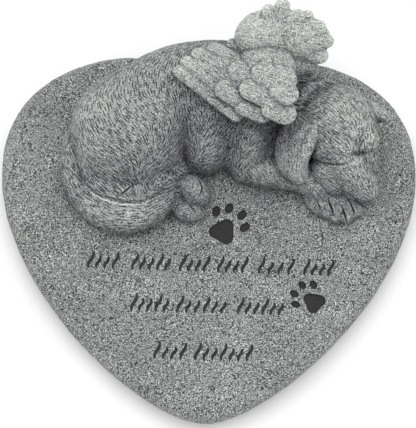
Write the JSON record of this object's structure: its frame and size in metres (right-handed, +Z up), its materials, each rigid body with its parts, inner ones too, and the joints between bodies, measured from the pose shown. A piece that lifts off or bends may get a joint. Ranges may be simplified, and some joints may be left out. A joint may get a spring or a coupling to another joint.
{
  "type": "pet memorial statue",
  "caption": "Heart-shaped memorial stone with a curled, sleeping winged puppy, rows of sunk strokes and sunk paw prints; stands flat on its underside.",
  "frame": {"origin": "centre of the object's box at its base, on the surface that it stands on", "axes": "+X to the right across the heart, +Y away from the reader of the rows, from the heart's tip to its notch, +Z up"},
  "size_m": [0.2, 0.185, 0.0782],
  "materials": {
    "cast_stone": "matt cast stone"
  },
  "bodies": {
    "root": {"memorial_stone": "cast_stone"}
  },
  "joints": []
}
